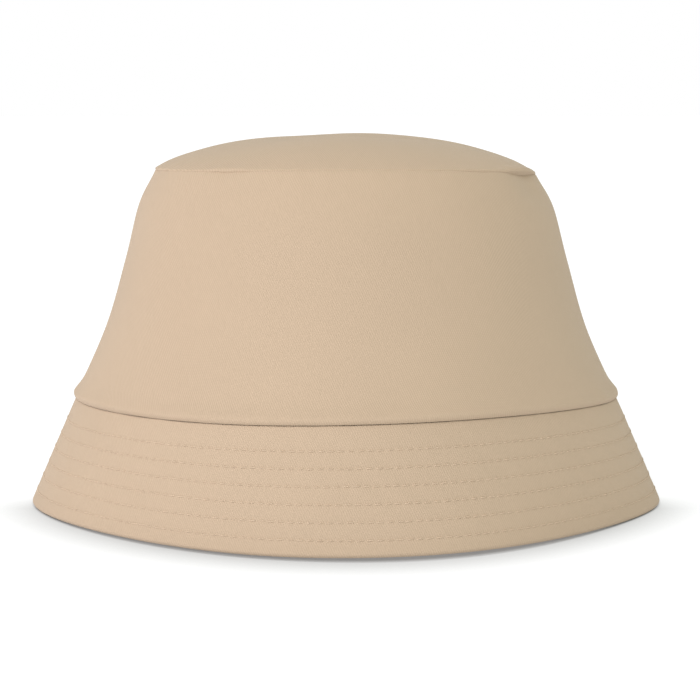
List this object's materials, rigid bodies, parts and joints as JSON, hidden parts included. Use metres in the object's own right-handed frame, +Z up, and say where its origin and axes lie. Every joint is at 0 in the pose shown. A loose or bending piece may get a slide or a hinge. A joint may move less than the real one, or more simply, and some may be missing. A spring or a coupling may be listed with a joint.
{
  "type": "bucket hat",
  "caption": "Cotton-twill bucket hat with an oval domed top panel, a bell-shaped side band and a short sloping brim with concentric rows of stitching.",
  "frame": {"origin": "on the resting plane, at the middle of the hat's bounding box, with the brim's edge on z = 0", "axes": "+Z up through the crown, -Y towards the front of the hat, +X to the right side seam seen from the front"},
  "size_m": [0.2412, 0.1966, 0.1402],
  "materials": {
    "twill": "matt cotton twill, beige",
    "lining_tape": "plain-weave cotton tape, paler beige",
    "stiffener": "non-woven interlining, off-white",
    "sewing_thread": "spun polyester thread, beige"
  },
  "bodies": {
    "root": {"crown_top": "twill", "crown_side_front": "twill", "crown_side_back": "twill", "brim_upper_front": "twill", "brim_upper_back": "twill", "brim_under_front": "twill", "brim_under_back": "twill", "top_seam_tape": "lining_tape", "side_seam_tape_left": "lining_tape", "side_seam_tape_right": "lining_tape", "sweatband": "lining_tape", "brim_interlining_front": "stiffener", "brim_interlining_back": "stiffener", "brim_needle_thread_1": "sewing_thread", "brim_needle_thread_2": "sewing_thread", "brim_needle_thread_3": "sewing_thread", "brim_needle_thread_4": "sewing_thread", "brim_needle_thread_5": "sewing_thread", "brim_needle_thread_6": "sewing_thread", "brim_bobbin_thread_1": "sewing_thread", "brim_bobbin_thread_2": "sewing_thread", "brim_bobbin_thread_3": "sewing_thread", "brim_bobbin_thread_4": "sewing_thread", "brim_bobbin_thread_5": "sewing_thread", "brim_bobbin_thread_6": "sewing_thread"}
  },
  "joints": []
}
